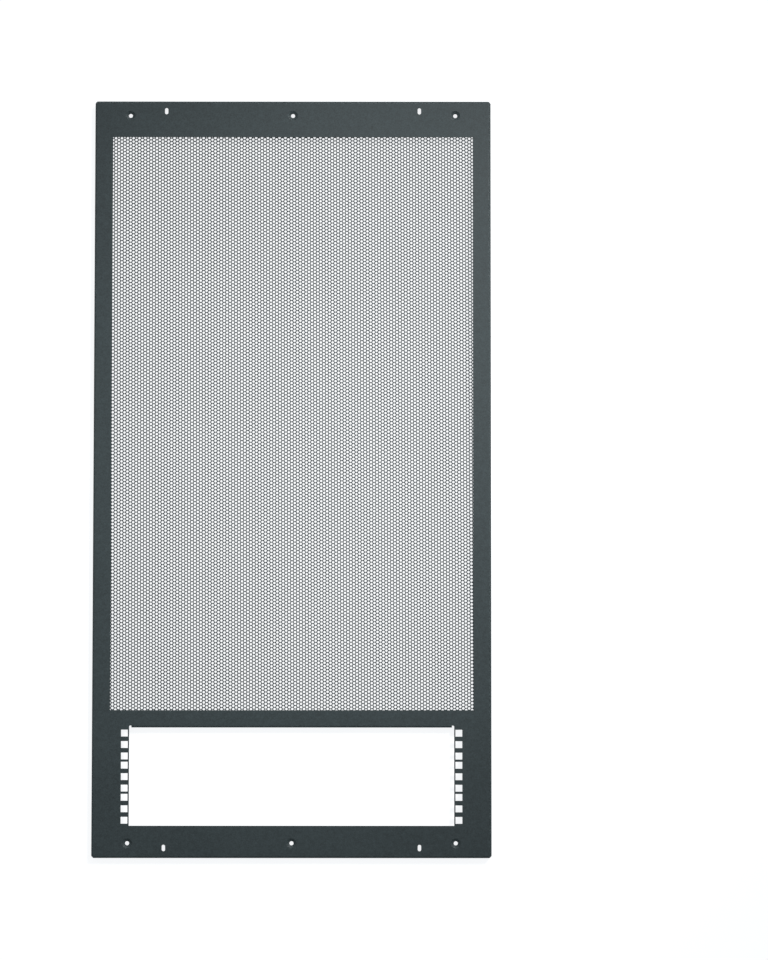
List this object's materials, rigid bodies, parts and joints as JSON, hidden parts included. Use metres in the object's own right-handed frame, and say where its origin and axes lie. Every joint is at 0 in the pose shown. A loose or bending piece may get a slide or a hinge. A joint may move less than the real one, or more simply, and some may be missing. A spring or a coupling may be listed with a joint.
{
  "type": "perforated rack top panel",
  "caption": "Folded sheet-steel top panel for an equipment rack, with a large perforated window for airflow and a rack-width opening edged with square cage-nut holes.",
  "frame": {"origin": "middle of the panel, on the plane of the outer flanges' lower edges", "axes": "+Z out of the panel's upper face, +Y along the rack's depth from the rack opening towards the perforated window, +X across the rack"},
  "size_m": [0.556, 1.059, 0.016],
  "materials": {
    "powder_coat": "satin fine-texture powder coat, dark slate grey"
  },
  "bodies": {
    "root": {"top_frame": "powder_coat", "perforated_insert": "powder_coat"}
  },
  "joints": []
}
